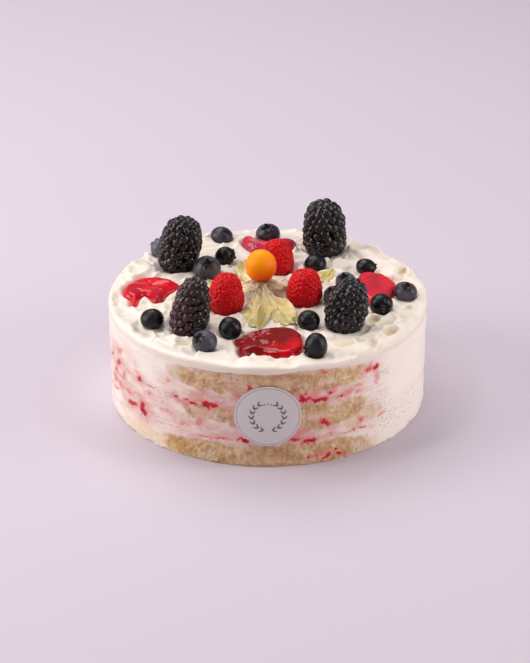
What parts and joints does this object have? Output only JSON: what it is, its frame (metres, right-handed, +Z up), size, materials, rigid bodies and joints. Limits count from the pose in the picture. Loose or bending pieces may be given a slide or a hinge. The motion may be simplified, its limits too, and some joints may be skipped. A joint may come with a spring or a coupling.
{
  "type": "berry cream layer cake",
  "caption": "Round semi-naked cake of light sponge layers with pink berry cream fillings, whipped cream top, fresh berries, fruit jam and a round blank side label.",
  "frame": {"origin": "centre of the cake's flat underside", "axes": "+Z up through the middle of the cake; -Y towards the front, where the round label sits; +X to the viewer's right"},
  "size_m": [0.2, 0.2009, 0.1018],
  "materials": {
    "sponge": "baked sponge crumb, matt",
    "filling": "whipped cream stained pink by berry pulp, soft sheen",
    "cream": "whipped cream, soft sheen",
    "bramble": "purple-black glossy drupelets",
    "raspberry": "red drupelets with fine down",
    "blueberry": "blue-black skin with waxy bloom",
    "gooseberry": "smooth orange skin",
    "husk": "dry papery husk, straw green",
    "jam": "glossy red fruit jam",
    "label": "silver-grey satin paper"
  },
  "bodies": {
    "root": {"sponge_bottom": "sponge", "filling_lower": "filling", "sponge_middle": "sponge", "filling_upper": "filling", "sponge_top": "sponge", "cream_top": "cream", "bramble_left_back": "bramble", "bramble_left_front": "bramble", "bramble_right_back": "bramble", "bramble_right_front": "bramble", "raspberry_left": "raspberry", "raspberry_back": "raspberry", "raspberry_right": "raspberry", "blueberry_01": "blueberry", "blueberry_02": "blueberry", "blueberry_03": "blueberry", "blueberry_04": "blueberry", "blueberry_05": "blueberry", "blueberry_06": "blueberry", "blueberry_07": "blueberry", "blueberry_08": "blueberry", "blueberry_09": "blueberry", "blueberry_10": "blueberry", "blueberry_11": "blueberry", "blueberry_12": "blueberry", "blueberry_13": "blueberry", "blueberry_14": "blueberry", "blueberry_15": "blueberry", "blueberry_16": "blueberry", "gooseberry_husk": "husk", "cape_gooseberry": "gooseberry", "jam_left": "jam", "jam_back": "jam", "jam_right": "jam", "jam_front": "jam", "label": "label"}
  },
  "joints": []
}
